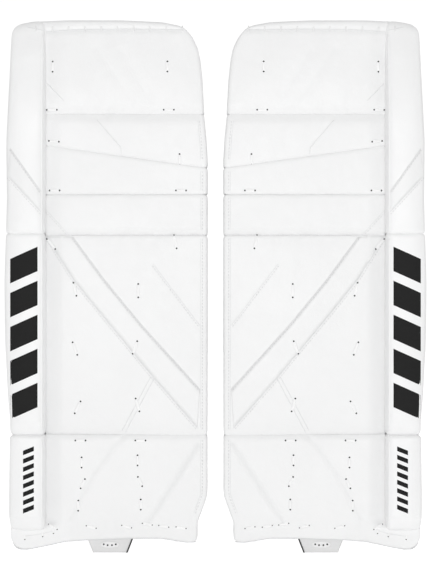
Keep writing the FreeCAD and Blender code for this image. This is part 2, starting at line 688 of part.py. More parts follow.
def main():
    doc = FreeCAD.newDocument("goalie_leg_pads")
    make_sheet(doc)
    pieces = [piece for side in SIDES for piece in one_pad(doc, side)]
    doc.recompute()
    check(doc, pieces)
    os.makedirs("parts", exist_ok=True)
    for piece in pieces:
        piece.Shape.exportStep(os.path.join("parts", f"{piece.Label}.step"))
    print(len(pieces), "pieces")


main()
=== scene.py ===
"""The looks of a pair of goalie leg pads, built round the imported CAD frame.

Every length is in millimetres until a mesh is made. A pad is built once, in (out, y, z): out is the distance
from the middle plane between the two pads, y runs from the front to the back, z is up. The left pad lies
towards +X and the right pad is its mirror image.
"""

import math

import bpy
import numpy as np
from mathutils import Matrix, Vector, noise
from mathutils.bvhtree import BVHTree


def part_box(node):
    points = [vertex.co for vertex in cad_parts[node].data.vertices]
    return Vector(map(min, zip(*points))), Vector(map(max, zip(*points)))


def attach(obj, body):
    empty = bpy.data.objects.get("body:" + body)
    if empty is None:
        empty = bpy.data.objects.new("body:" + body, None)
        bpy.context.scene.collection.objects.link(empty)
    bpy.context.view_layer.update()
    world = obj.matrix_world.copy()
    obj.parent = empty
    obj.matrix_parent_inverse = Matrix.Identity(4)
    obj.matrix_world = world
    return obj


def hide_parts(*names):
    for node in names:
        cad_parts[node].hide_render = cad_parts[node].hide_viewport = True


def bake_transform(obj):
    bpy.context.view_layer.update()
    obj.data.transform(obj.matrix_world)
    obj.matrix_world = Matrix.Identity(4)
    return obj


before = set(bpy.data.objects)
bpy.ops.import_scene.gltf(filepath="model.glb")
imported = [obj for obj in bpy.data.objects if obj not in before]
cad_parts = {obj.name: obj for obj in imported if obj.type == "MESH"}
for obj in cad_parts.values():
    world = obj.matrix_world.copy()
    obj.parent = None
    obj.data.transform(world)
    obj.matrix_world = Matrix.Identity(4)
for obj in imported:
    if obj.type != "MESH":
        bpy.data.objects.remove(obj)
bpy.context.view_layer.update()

MM = 0.001
PADS = {"right": -1.0, "left": 1.0}
PANEL_HEIGHT = 0.35
THREAD_FROM_SEAM = 2.4
WHIP_LONGEST = 12
FOOT_ROW = 45
SWELL_FRAMES = 20
SWELL_PRESSURE = 4.0


def span(node):
    """A CAD node of the left pad as its two corners (out, y, z)."""
    return [np.array(corner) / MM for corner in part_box(node + "_left")]


SHIN_LOW, SHIN_HIGH = span("shin_core")
INNER, FACE = SHIN_LOW[:2]
ROLL, CORE_BACK = SHIN_HIGH[:2]
ROLL_SIDE = 290.0
ROLL_FRONT = span("shin_outer_roll")[0][1]
HINGE = (152.0, -62.0)
BOOT_FOLD = 165.0
KNEE_FOLD = 445.0
THIGH_FOLD = 612.0
PAD_TOP = span("thigh_core")[1][2]

# ---- outlines ----

INNER_LINE = ((18, 25), (46, 25), (60, 19.5), (75, 14), (84, INNER), (548, INNER), (575, 12.5), (603, 15.2),
              (659, 18), (687, 20.9), (701, 23.6), (709, 26.4), (717, 30.5), (726, 34.8), (742, 42))
TOE_LINE = ((25, 15.5), (41, 15), (60, 18), (76, 20.5), (118, 20.5), (181, 18.3), (209, 16.3), (ROLL, 10),
            (262, 5.2), (287, 5.5))
TOE_CORNER = 286.0
TOP_LINE = ((INNER, 726), (15.6, 732), (25, 736.5), (50, 741), (115, 743.5), (193, 743.5), (ROLL, 741.5))
ROLL_LINE = ((32, 286), (60, 287), (165, 286), (185, 285.5), (214, 288), (242, 289.5), (297, 292), (380, 293),
             (446, 291), (492, 289.5), (575, 290.5), (603, 289), (660, 286.5), (690, 285.5), (740, 284))
SLANT = ((INNER, 536.5), (ROLL, 568.5))


def read(line, at):
    """A line's value at a place, straight between its points."""
    places, values = zip(*line)
    return np.interp(at, places, values)


def toe_height(out):
    """The toe's lower outline, rounded up at its outer corner."""
    return read(TOE_LINE, out) + 0.075 * np.clip(out - TOE_CORNER + 14, 0, None) ** 2


def stretched(value, low, high, new_low, new_high):
    """A value moved from one range to another."""
    return new_low + (value - low) / (high - low) * (new_high - new_low)


def ease(value):
    """A smooth step from 0 to 1."""
    t = np.clip(value, 0.0, 1.0)
    return t * t * (3 - 2 * t)


# ---- meshes ----

EDGE_LINES = np.array((0.0, 1.5, 4.0, 8.0))


def grid_lines(low, high, step):
    """Places of the grid lines along one side, closer together near its two ends."""
    edge = EDGE_LINES[EDGE_LINES < (high - low) * 0.3]
    middle_low, middle_high = low + edge[-1], high - edge[-1]
    count = max(1, round((middle_high - middle_low) / step))
    middle = np.linspace(middle_low, middle_high, count + 1)
    return np.concatenate([low + edge[:-1], middle, (high - edge[:-1])[::-1]])


def box_skin(lines):
    """A closed box as a quad grid: its points, and its faces wound outwards."""
    shape = tuple(len(row) for row in lines)
    on_skin = np.zeros(shape, bool)
    for axis in range(3):
        for end in (0, -1):
            place = [slice(None)] * 3
            place[axis] = end
            on_skin[tuple(place)] = True
    number = (np.cumsum(on_skin.ravel()) - 1).reshape(shape)
    points = np.stack(np.meshgrid(*lines, indexing="ij"), axis=-1)[on_skin]
    faces = []
    for axis in range(3):
        for end in (0, shape[axis] - 1):
            side = np.take(number, end, axis=axis)
            corners = (side[:-1, :-1], side[1:, :-1], side[1:, 1:], side[:-1, 1:])
            quads = np.stack(corners, axis=-1).reshape(-1, 4)
            outwards = (end > 0) == (axis != 1)
            faces.append(quads if outwards else quads[:, ::-1])
    return points, np.concatenate(faces)


def plain_box(low, high, counts):
    """A box skin with evenly spaced grid lines, counts of them along each axis."""
    return box_skin([np.linspace(low[k], high[k], count) for k, count in enumerate(counts)])


def round_box(points, low, high, edges):
    """Rounds a box's edges. edges holds each axis's radius at its low end and at its high end."""
    at_low, at_high = np.array(edges, float).T
    inner = np.clip(points, low + at_low, high - at_high)
    radius = np.where(points < inner, at_low, at_high)
    lean = (points - inner) / np.maximum(radius, 1e-6)
    size = np.maximum(np.linalg.norm(lean, axis=1, keepdims=True), 1.0)
    return inner + lean / size * radius


def near_edges(points, low, high, margin):
    """Marks the points near a box's edges, where two of its sides meet."""
    near = (points - low < margin) | (high - points < margin)
    return near.sum(axis=1) >= 2


def unit(directions):
    return directions / np.linalg.norm(directions, axis=1, keepdims=True)


def circle(sides):
    return np.linspace(0, 2 * math.pi, sides, endpoint=False)


def ring_faces(rings, sides):
    """The faces of a stack of point rings, closed at both ends."""
    faces = [list(range(sides))[::-1], [(rings - 1) * sides + k for k in range(sides)]]
    for row in range(rings - 1):
        for k in range(sides):
            a, b = row * sides + k, row * sides + (k + 1) % sides
            faces.append([a, b, b + sides, a + sides])
    return faces


def put(name, data, place=(0, 0, 0), turn=(0, 0, 0)):
    """Puts an object in the scene."""
    thing = bpy.data.objects.new(name, data)
    thing.location = place
    thing.rotation_euler = turn
    bpy.context.scene.collection.objects.link(thing)
    return thing


def raw_object(name, points, faces):
    """A mesh object from points in metres."""
    mesh = bpy.data.meshes.new(name)
    mesh.from_pydata(points.tolist(), [], [list(map(int, face)) for face in faces])
    mesh.update()
    return put(name, mesh)


def evaluated_mesh(thing):
    """An object's points and faces with its modifiers worked out, in millimetres."""
    made = thing.evaluated_get(bpy.context.evaluated_depsgraph_get()).to_mesh()
    points = np.zeros(len(made.vertices) * 3)
    made.vertices.foreach_get("co", points)
    corners = np.zeros(len(made.loops), int)
    made.loops.foreach_get("vertex_index", corners)
    return points.reshape(-1, 3) / MM, corners.reshape(-1, 4)


def discard(thing):
    mesh = thing.data
    bpy.data.objects.remove(thing)
    bpy.data.meshes.remove(mesh)


def subdivide(points, faces):
    """One Catmull-Clark step on a closed quad skin."""
    thing = raw_object("halving", points * MM, faces)
    halving = thing.modifiers.new("Halving", "SUBSURF")
    halving.levels = 1
    halving.render_levels = 1
    result = evaluated_mesh(thing)
    discard(thing)
    return result


def joined(parts):
    """Several (points, faces) as one; faces may be lists of different lengths."""
    points, faces, start = [], [], 0
    for part_points, part_faces in parts:
        points.append(np.asarray(part_points, float))
        faces.extend([[int(i) + start for i in face] for face in part_faces])
        start += len(part_points)
    return np.concatenate(points), faces


# ---- materials ----


class Nodes:
    """A material's node tree, with short calls for the nodes used here."""

    def __init__(self, name):
        self.material = bpy.data.materials.new(name)
        self.material.use_nodes = True
        self.tree = self.material.node_tree
        self.shader = self.tree.nodes["Principled BSDF"]
        self.place = self.add("TexCoord").outputs["Object"]

    def link(self, source, target):
        self.tree.links.new(source, target)

    def add(self, kind, **settings):
        node = self.tree.nodes.new("ShaderNode" + kind)
        for key, value in settings.items():
            setattr(node, key, value)
        return node

    def texture(self, kind, scale, stretch=(1, 1, 1), turn=(0, 0, 0), **settings):
        """A texture node over the object's own coordinates, in metres."""
        mapping = self.add("Mapping")
        mapping.inputs["Scale"].default_value = stretch
        mapping.inputs["Rotation"].default_value = turn
        self.link(self.place, mapping.inputs["Vector"])
        node = self.add("Tex" + kind)
        self.link(mapping.outputs["Vector"], node.inputs["Vector"])
        node.inputs["Scale"].default_value = scale
        for key, value in settings.items():
            if key in node.inputs:
                node.inputs[key].default_value = value
            else:
                setattr(node, key, value)
        return node.outputs["Distance" if kind == "Voronoi" else "Fac"]

    def ramp(self, source, low, high, low_colour, high_colour):
        node = self.add("MapRange", data_type="FLOAT")
        self.link(source, node.inputs["Value"])
        node.inputs["From Min"].default_value = low
        node.inputs["From Max"].default_value = high
        mix = self.add("Mix", data_type="RGBA")
        self.link(node.outputs["Result"], mix.inputs["Factor"])
        mix.inputs["A"].default_value = (*low_colour, 1)
        mix.inputs["B"].default_value = (*high_colour, 1)
        return mix.outputs["Result"]

    def times(self, first, second):
        mix = self.add("Mix", data_type="RGBA", blend_type="MULTIPLY")
        mix.inputs["Factor"].default_value = 1.0
        self.link(first, mix.inputs["A"])
        self.link(second, mix.inputs["B"])
        return mix.outputs["Result"]

    def maths(self, operation, first, second):
        node = self.add("Math", operation=operation)
        for source, target in zip((first, second), node.inputs):
            if isinstance(source, float):
                target.default_value = source
            else:
                self.link(source, target)
        return node.outputs["Value"]

    def bump(self, height, distance, before=None):
        node = self.add("Bump")
        node.inputs["Distance"].default_value = distance
        self.link(height, node.inputs["Height"])
        if before is not None:
            self.link(before, node.inputs["Normal"])
        return node.outputs["Normal"]

    def set(self, **values):
        for name, value in values.items():
            target = self.shader.inputs[name.replace("_", " ")]
            if isinstance(value, bpy.types.NodeSocket):
                self.link(value, target)
            else:
                target.default_value = value


def grey(value, cool=0.0):
    """A grey of that brightness, a little blue where cool is above 0."""
    return (value * (1 - cool), value * (1 - cool * 0.4), value)


def leather(name, brightness, cool, roughness, grain):
    """Synthetic leather: a pebbled grain, uneven gloss, and painted shade that darkens its creases."""
    nodes = Nodes(name)
    cloudy = nodes.texture("Noise", 9.0, Detail=4.0)
    colour = nodes.ramp(cloudy, 0.3, 0.7, grey(brightness * 0.975, cool), grey(brightness, cool))
    crease = nodes.add("NewGeometry").outputs["Pointiness"]
    # Painted shade: concave places, where Pointiness falls below 0.5, are darkened down to grey 0.86.
    painted_crease_shade = nodes.ramp(crease, 0.42, 0.5, grey(0.86, 0.01), (1, 1, 1))
    pebbles = nodes.texture("Voronoi", 620.0, feature="SMOOTH_F1")
    pores = nodes.texture("Noise", 1500.0, Detail=2.0)
    folds = nodes.texture("Noise", 70.0, Detail=5.0)
    gloss = nodes.ramp(folds, 0.3, 0.7, grey(roughness - 0.05), grey(roughness + 0.07))
    relief = nodes.bump(folds, 0.0006)
    relief = nodes.bump(pebbles, grain, relief)
    relief = nodes.bump(pores, grain * 0.5, relief)
    nodes.set(Base_Color=nodes.times(colour, painted_crease_shade), Roughness=gloss, Normal=relief, Coat_Weight=0.12,
              Coat_Roughness=0.35, Sheen_Weight=0.05)
    return nodes.material


def woven(name, dark, light, threads, depth, sheen, turn=0.0):
    """Woven fabric: threads over and under, threads to the metre, with a soft sheen and a little fading."""
    nodes = Nodes(name)
    tilt = (0, math.radians(turn), 0)
    along = nodes.texture("Wave", threads, turn=tilt, bands_direction="X", Distortion=0.4)
    across = nodes.texture("Wave", threads, turn=tilt, bands_direction="Z", Distortion=0.4)
    weave = nodes.maths("MULTIPLY", along, across)
    faded = nodes.texture("Noise", 24.0, Detail=6.0)
    shade = nodes.maths("ADD", nodes.maths("MULTIPLY", weave, 0.55), nodes.maths("MULTIPLY", faded, 0.5))
    lint = nodes.texture("Noise", 900.0, Detail=2.0)
    relief = nodes.bump(weave, depth)
    relief = nodes.bump(lint, depth * 0.5, relief)
    nodes.set(Base_Color=nodes.ramp(shade, 0.15, 0.75, dark, light), Roughness=0.85, Normal=relief,
              Sheen_Weight=sheen, Sheen_Roughness=0.45)
    return nodes.material


def moulded(name, brightness, roughness, speck, shine=0.5):
    """Moulded plastic or printed ink: a fine spark-eroded texture and scuffs of uneven gloss."""
    nodes = Nodes(name)
    specks = nodes.texture("Noise", 1300.0, Detail=3.0)
    scuffs = nodes.texture("Noise", 60.0, stretch=(1, 1, 4), Detail=8.0, Roughness=0.7)
    colour = nodes.ramp(scuffs, 0.35, 0.7, grey(brightness), grey(brightness * 1.06 + 0.004))
    gloss = nodes.ramp(scuffs, 0.35, 0.7, grey(roughness), grey(roughness + 0.15))
    nodes.set(Base_Color=colour, Roughness=gloss, Normal=nodes.bump(specks, speck),
              Specular_IOR_Level=shine)
    return nodes.material


FACE_LEATHER = leather("face_leather", 0.88, 0.003, 0.46, 0.00010)
# Painted light: the roll's leather is a lighter copy of the face leather (0.91 against 0.88), painted
# brighter so that the roll looks as well lit as the face.
PAINTED_BRIGHTER_ROLL_LEATHER = leather("roll_leather_painted_brighter", 0.91, 0.003, 0.43, 0.00009)
WING_LEATHER = leather("wing_leather", 0.84, 0.008, 0.5, 0.00013)
# Partly painted shade: the raised seam cords shade themselves a little, and their leather is also painted
# darker than the face (0.82 against 0.88) so that the seam lines read as dark lines of shade.
SEAM_LEATHER_PAINTED_DARKER = leather("seam_leather_painted_darker", 0.82, 0.01, 0.55, 0.00010)
# Painted shade: a grey binding, darker than the face leather, that draws the dark line of shade along the
# toe's lower edge.
BINDING_PAINTED_SHADE = leather("painted_shade_binding", 0.72, 0.01, 0.5, 0.00008)
BLOCK_FABRIC = woven("block_fabric", grey(0.74, 0.01), grey(0.86, 0.01), 420.0, 0.00022, 0.25)
LINING = woven("channel_lining", (0.026, 0.028, 0.033), (0.06, 0.063, 0.072), 330.0, 0.0003, 0.5, 45.0)
WEBBING = woven("strap_webbing", (0.008, 0.008, 0.01), (0.03, 0.03, 0.033), 240.0, 0.0004, 0.4)
GRIP = woven("strap_grip", (0.02, 0.02, 0.022), (0.06, 0.06, 0.062), 700.0, 0.0006, 0.6, 30.0)
THREAD = woven("stitch_thread", grey(0.72, 0.01), grey(0.86, 0.01), 1500.0, 0.0001, 0.2, 30.0)
TACK_THREAD = woven("tack_thread", grey(0.1), grey(0.2), 1500.0, 0.0001, 0.2, 30.0)
# Partly painted shade: the whipping cord is the laces' white made a little darker (0.83 to 0.9 against 0.93
# to 0.99), standing in for the shade along the whip stitches.
WHIPPING_PAINTED_DARKER = woven("whipping_cord_painted_darker", grey(0.83), grey(0.9), 900.0, 0.00006, 0.1, 35.0)
LACE = woven("lace_cord", grey(0.93), grey(0.99), 900.0, 0.00006, 0.1, 35.0)
PLASTIC = moulded("toe_plastic", 0.7, 0.42, 0.00004)
BOSS = moulded("boss_plastic", 0.8, 0.4, 0.00003)
# A near-black finish for the strip along the toe bridge's slanted inner edge.
EDGE_BLACK = moulded("edge_black_strip", 0.02, 0.6, 0.00006)
INK = moulded("black_ink", 0.012, 0.62, 0.00002, 0.15)
# Painted shade: black discs laid on the covers and the toe bridge where laces go through, standing in for the
# shade inside the holes.
HOLE_SHADE_PAINT = moulded("black_hole_shade_paint", 0.012, 0.6, 0.00002)
SHEET = moulded("stiffening_sheet", 0.5, 0.5, 0.00005)


# ---- making pieces ----


def mirrored(points, sign):
    """Pad points (out, y, z) in millimetres as frame points in metres."""
    return np.asarray(points, float) * (sign, 1, 1) * MM


def make_pair(name, body, points, faces, material, slot="padded_face", nodes=(), fill=None):
    """Makes one piece for each pad, riding a body, or left unparented in place where body names one of BENDS.
    """
    for pad, sign in PADS.items():
        turned = faces if sign > 0 else [list(face)[::-1] for face in faces]
        thing = raw_object(f"{pad}_{name}", mirrored(points, sign), turned)
        thing.data.shade_smooth()
        thing.data.materials.append(material)
        if nodes:
            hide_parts(*[f"{node}_{pad}" for node in nodes])
        if body in BENDS:
            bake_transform(thing)
        else:
            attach(thing, f"{pad}_{body}")


def at_hinge(z):
    """A point on the folds' hinge line, at a height."""
    return (*HINGE, z)


# The bends that a piece may be listed under: the body before the bend, the body after it, and the two points
# between which it is to turn.
BENDS = {
    "boot_bend": ("shin", "boot", at_hinge(BOOT_FOLD + 4), at_hinge(BOOT_FOLD - 27)),
    "shin_bend": ("knee", "shin", at_hinge(KNEE_FOLD + 4), at_hinge(KNEE_FOLD - 28)),
    "upper_roll_bend": ("knee", "thigh", at_hinge(THIGH_FOLD - 24), at_hinge(THIGH_FOLD + 24)),
    "thigh_bend": ("knee", "thigh", at_hinge(THIGH_FOLD - 4), at_hinge(THIGH_FOLD + 30)),
    "wing_bend": ("shin", "calf_wing", (247, -24, 300), (235, -8, 300)),
}

# ---- padded pieces ----

cushions = []


def cushion(name, body, nodes, box, edges, material, slot, step=5.0, swell=3.0, held=None, shape=None,
            relief=None, fill=0.8):
    """Lists a padded piece: a rounded box skin bent by shape, swollen later, then pressed by relief."""
    low, high = (np.array(corner, float) for corner in box)
    straight, faces = box_skin([grid_lines(low[k], high[k], step) for k in range(3)])
    fixed = near_edges(straight, low, high, 4.5)
    if held is not None:
        fixed |= held(straight)
    points = round_box(straight, low, high, edges)
    if shape is not None:
        points = shape(points)
    cushions.append(dict(name=name, body=body, nodes=nodes, points=points, faces=faces, fixed=fixed,
                         swell=swell, relief=relief, material=material, slot=slot, fill=fill))


def swell_together(listed):
    """Cloth simulation: every skin is blown up at once, its fixed points held and its movement capped."""
    things = []
    for item in listed:
        thing = raw_object("swelling", item["points"] * MM, item["faces"])
        group = thing.vertex_groups.new(name="held")
        group.add(np.flatnonzero(item["fixed"]).tolist(), 1.0, "REPLACE")
        cloth = thing.modifiers.new("Cloth", "CLOTH")
        cloth.settings.vertex_group_mass = "held"
        cloth.settings.use_pressure = True
        cloth.settings.uniform_pressure_force = SWELL_PRESSURE
        cloth.settings.effector_weights.gravity = 0.0
        cloth.point_cache.frame_start = 1
        cloth.point_cache.frame_end = SWELL_FRAMES
        things.append(thing)
    for step in range(1, SWELL_FRAMES + 1):
        bpy.context.scene.frame_set(step)
    for item, thing in zip(listed, things):
        moved = evaluated_mesh(thing)[0] - item["points"]
        length = np.maximum(np.linalg.norm(moved, axis=1, keepdims=True), 1e-9)
        item["points"] = item["points"] + moved / length * item["swell"] * np.tanh(length / item["swell"])
        discard(thing)
    bpy.context.scene.frame_set(1)


def distance_to(path, out, z):
    """How far places on the face are from a line of (out, z) points."""
    nearest = np.full(len(out), 1e9)
    for (a_out, a_z), (b_out, b_z) in zip(path[:-1], path[1:]):
        run_out, run_z = b_out - a_out, b_z - a_z
        t = np.clip(((out - a_out) * run_out + (z - a_z) * run_z) / (run_out**2 + run_z**2), 0, 1)
        nearest = np.minimum(nearest, np.hypot(out - a_out - t * run_out, z - a_z - t * run_z))
    return nearest


def pressed(valleys, front=FACE, roll_groove=0.0, waviness=0.5, gathers=(), lean=None):
    """A relief for a front face: soft valleys (path, width, depth), a groove beside the roll, and slack."""

    def relief(points):
        out, y, z = points.T
        facing = ease((front + 32 - y) / 14)
        push = roll_groove * (1 - ease((ROLL - out) / 26.0))
        for path, width, depth in valleys:
            push = push + depth * np.exp(-((distance_to(path, out, z) / width) ** 2))
        for level, reach, depth in gathers:
            ripple = np.array([noise.noise(Vector((o / 11.0, level, 0.3))) for o in out])
            push = push + depth * ripple * np.exp(-np.abs(z - level) / reach)
        slack = np.array([noise.noise(Vector((o / 46.0, 7.1, h / 60.0))) for o, h in zip(out, z)])
        push = push + waviness * slack
        if lean is not None:
            push = push + lean(out, z)
        result = points.copy()
        result[:, 1] = y + push * facing
        return result

    return relief


# Lines on the face, as (out, z).
BAND_LOW = ((236, 441.5), (198.4, 382), (161.8, 336.4), (118.4, 283.8), (86.5, 245), (25, 174.5))
BAND_HIGH = ((198.4, 441), (152.9, 379.7), (102.4, 318.3), (62, 273.8), (21.5, 229))
SHIN_FAINT = ((86.5, 402.5), (21.5, 317))
SHIN_TAIL = ((87.6, 245), (127.9, 169.6))
BOOT_TAIL = ((128.5, 163), (141, 150.5), (171, 108.5), (201.5, 48.5))
BOOT_BAND = ((23.5, 152), (57.7, 98.7), (96, 41))
THIGH_MARK = ((235, 655), (210.7, 629.8))
THIGH_SOFT = (((165.4, 702), (111, 618)), ((132, 700), (84.8, 618)))
KNEE_MARK = ((165.4, 604), (132, 565.5), (131, 556))
KNEE_BAND = ((236, 478.6), (206, 446))
ROLL_BAND_HIGH = ((284, 563), (279.8, 557.4), (240.5, 502.3))
ROLL_BAND_LOW = ((288, 525), (285.8, 522.6), (239.5, 472.6))
TOP_SEAM = ((47, 729.5), (60, 729.5), (122, 730.5), (193, 729.5), (236, 727))
ROLL_TOP_SEAM = ((238.5, 728), (252, 730.5), (262, 733))
BOOT_CREASE = ((INNER, BOOT_FOLD), (ROLL, BOOT_FOLD))
KNEE_LINE = KNEE_FOLD - 2.5
KNEE_CREASE = ((INNER, KNEE_LINE), (ROLL, KNEE_LINE))
THIGH_CREASE = ((INNER, THIGH_FOLD), (ROLL, THIGH_FOLD))
EDGE_SEAM_IN = 9.6

# How far a cover reaches into the next one, so that no slit shows between them.
LAP = 1.1
ROLL_LAP = 2.0
SIDE = ROLL + LAP


def on_back(points):
    return points[:, 1] > FACE + 12


def in_line(out, z):
    """Draws a segment's inner side back to the pad's inner outline."""
    return stretched(out, INNER, ROLL, read(INNER_LINE, z), ROLL)


def boot_shape(points):
    out, y, z = points.T
    foot = ease((47 - z) / 6) * ease((out - 200) / (SIDE - 200))
    out = in_line(out, z) + (TOE_CORNER - SIDE) * foot
    z = stretched(z, 20, BOOT_FOLD, toe_height(out), BOOT_FOLD)
    return np.stack([out, y, z], axis=1)


def knee_middle_shape(points):
    out, y, z = points.T
    return np.stack([out, y, stretched(z, 500, 552, 500, read(SLANT, out) + LAP)], axis=1)


def knee_upper_shape(points):
    out, y, z = points.T
    z = stretched(z, 553, THIGH_FOLD + LAP, read(SLANT, out) - LAP, THIGH_FOLD + LAP)
    return np.stack([in_line(out, z), y, z], axis=1)


def thigh_shape(points):
    out, y, z = points.T
    z = stretched(z, THIGH_FOLD, PAD_TOP, THIGH_FOLD, read(TOP_LINE, out))
    out = out + 26 * ease((z - 700) / 30.0) * ease((out - 150) / 87.0)
    return np.stack([in_line(out, z), y, z], axis=1)


def roll_shape(points):
    out, y, z = points.T
    out = stretched(out, ROLL, ROLL_SIDE, ROLL, read(ROLL_LINE, z))
    z = z - 5.0 * ease((out - 245) / 40.0) * ease((z - 700) / 30.0)
    depth = 1 - 0.22 * ease((z - 600) / 142.0)
    y = CORE_BACK + (y - CORE_BACK) * depth
    return np.stack([out, y, z], axis=1)


def toe_lean(out, z):
    """The boot's front draws back towards the toe, and its groove ends above the foot under the roll."""
    return 4.0 * ease((60 - z) / 45.0) - 6.0 * ease((46 - z) / 12.0) * (1 - ease((ROLL - out) / 26.0))


def roll_foot_lean(out, z):
    """The flat slope cut across the boot roll's lower end."""
    return 13.0 * np.clip((52 - z) / 19.0, 0, 1)


def roll_back(points):
    return points[:, 1] > ROLL_FRONT + 40


def face_cover(stem, body, low, high, edges, valleys, node=None, shape=None, swell=3.2, **relief):
    """The cover of one section of the face, between two heights."""
    cushion(stem + "_cover", body, [node or stem], ((INNER, FACE, low), (SIDE, CORE_BACK, high)), edges,
            FACE_LEATHER, "padded_face", held=on_back, shape=shape, swell=swell,
            relief=pressed(valleys, **relief))


def roll_cover(stem, nodes, body, low, high, ends, swell=2.2, **relief):
    """The cover of one section of the outer roll. ends holds the rounding at its two heights."""
    cushion(stem + "_cover", body, nodes, ((ROLL, ROLL_FRONT, low), (ROLL_SIDE, CORE_BACK, high)),
            ((9, 17), (14, 3), ends), PAINTED_BRIGHTER_ROLL_LEATHER, "padded_face", held=roll_back, shape=roll_shape,
            swell=swell, relief=pressed([], front=ROLL_FRONT, **relief))


KNEE_EDGES = ((9, 3), (4.5, 3), (4, 4))
face_cover("boot", "boot_bend", 20, BOOT_FOLD + LAP, ((9, 1), (4, 3), (5, 3.5)),
           [(BOOT_BAND, 3.2, 2.0), (BOOT_TAIL, 3.6, 1.2), (BOOT_CREASE, 5.0, 1.3)], "boot_core",
           boot_shape, 2.2, roll_groove=6.0, gathers=((38, 9, 1.2), (162, 7, 0.5)), lean=toe_lean)
face_cover("shin", "shin_bend", BOOT_FOLD - LAP, KNEE_LINE + LAP, ((9, 1), (4, 3), (3.5, 3.5)),
           [(SHIN_FAINT, 4.0, 0.5), (BOOT_CREASE, 7.0, 1.2)], "shin_core", swell=2.4, roll_groove=6.5,
           waviness=0.8, gathers=((168, 9, 0.6), (441, 10, 0.8)),
           lean=lambda out, z: 4.0 * ease((340 - z) / 170.0) * ease((out - 20) / 200.0))
face_cover("knee_roll_lower", "knee", KNEE_LINE - LAP, 499.5 + LAP, KNEE_EDGES, [(KNEE_CREASE, 6.5, 3.2)],
           roll_groove=4.0, gathers=((446, 10, 1.2), (499, 6, 0.8)))
face_cover("knee_roll_middle", "knee", 500.5 - LAP, 552, KNEE_EDGES, [], shape=knee_middle_shape,
           roll_groove=3.5, gathers=((501, 6, 0.8),))
face_cover("knee_roll_upper", "knee", 553, THIGH_FOLD + LAP, ((9, 3), (4.5, 3), (4, 3.5)),
           [(KNEE_MARK, 5.0, 0.6), (THIGH_CREASE, 8.0, 2.2)], shape=knee_upper_shape, roll_groove=3.5,
           gathers=((608, 12, 1.2),))
thigh_valleys = [(path, 6.0, 0.7) for path in THIGH_SOFT] + [(TOP_SEAM, 3.0, 1.2), (THIGH_CREASE, 8.0, 2.2)]
face_cover("thigh", "thigh_bend", THIGH_FOLD - LAP, PAD_TOP, ((10, 1), (5, 3), (3.5, 9)), thigh_valleys,
           "thigh_core", thigh_shape, 2.4, roll_groove=2.5, waviness=0.8,
           gathers=((616, 14, 1.2), (728, 9, 1.0)), lean=lambda out, z: 4.0 * ease((z - 630) / 100.0))

roll_cover("boot_roll", ["boot_outer_roll"], "boot_bend", 31.5, BOOT_FOLD + ROLL_LAP, (7, 4), swell=2.0,
           gathers=((36, 12, 0.8),), lean=roll_foot_lean)
roll_cover("shin_roll", ["shin_outer_roll"], "shin_bend", BOOT_FOLD - ROLL_LAP, KNEE_FOLD + ROLL_LAP, (8, 4),
           waviness=0.7, gathers=((176, 12, 0.6), (442, 6, 0.6)),
           lean=lambda out, z: 3.5 * ease((186 - z) / 16.0))
roll_cover("upper_roll", ["knee_outer_roll", "thigh_outer_roll"], "upper_roll_bend",
           KNEE_FOLD - ROLL_LAP, 742, (4, 14), waviness=0.7, gathers=((448, 6, 0.6),),
           lean=lambda out, z: 5.0 * ease((z - 688) / 50.0))

# The wings, block, cradle and linings of the leg channel.


def quilted(axis, places):
    """Holds a skin along stitched channels."""

    def held(points):
        near = [np.abs(points[:, axis] - place) < 2.6 for place in places]
        return np.any(near, axis=0)

    return held


def on_foot(points):
    """Slopes a boot wing's lower edge up towards the toe, so that it stands on its back corner."""
    out, y, z = points.T
    head = span("boot_wing_outer")[1][2]
    return np.stack([out, y, stretched(z, 0, head, read(((CORE_BACK, 28), (59, 0)), y), head)], axis=1)


# Each wing: its body, its stitched channels, the last row of stitches, its swelling and its bent shape.
WINGS = {
    "calf_wing_outer": ("calf_wing", (14.0, 52.0), 82.0, 4.0, None),
    "calf_wing_inner": ("shin", (14.0, 52.0), 82.0, 4.0, None),
    "boot_wing_outer": ("boot", (12.0, 48.0), 77.0, 4.0, on_foot),
    "boot_wing_inner": ("boot", (12.0, 48.0), 77.0, 4.0, on_foot),
    "knee_wing": ("knee", (20.0,), 54.0, 3.5, None),
}
for stem, (body, channels, _, swell, shape) in WINGS.items():
    cushion(stem + "_cover", body, [stem], span(stem), ((7, 7), (9, 11), (11, 11)), WING_LEATHER,
            "wing_cover", step=6.0, swell=swell, held=quilted(1, channels), fill=0.7, shape=shape)
# Each lining: its body, its rows and columns of quilting, its swelling, its corner and its tape's corner.
LININGS = {
    "boot_liner": ("boot", 3, 2, 4.0, 6, 5.0),
    "shin_liner": ("shin", 6, 2, 4.0, 6, 5.0),
    "thigh_liner": ("thigh", 3, 4, 4.0, 20, 18.0),
    "knee_cradle": ("knee", 3, 2, 5.0, 6, 5.0),
}


def quilted_squares(low, high, rows, columns):
    """Holds a skin along rows and columns of stitching."""
    row_lines = quilted(2, np.linspace(low[2], high[2], rows + 1)[1:-1])
    column_lines = quilted(0, np.linspace(low[0], high[0], columns + 1)[1:-1])
    return lambda points: row_lines(points) | column_lines(points)


for node, (body, rows, columns, swell, corner, _) in LININGS.items():
    low, high = span(node)
    cushion(node + "_pad", body, [node], (low, high), ((corner, 6), (2, 3.5), (6, corner)), LINING,
            "channel_lining", swell=swell, held=quilted_squares(low, high, rows, columns), fill=0.6)
block_low, block_high = span("knee_block")
cushion("knee_block_pad", "knee", ["knee_block"], (block_low, block_high), ((9, 9), (4, 9), (9, 9)),
        BLOCK_FABRIC, "block_cover", step=6.0, swell=4.5, held=quilted(1, (18.0,)))

swell_together(cushions)

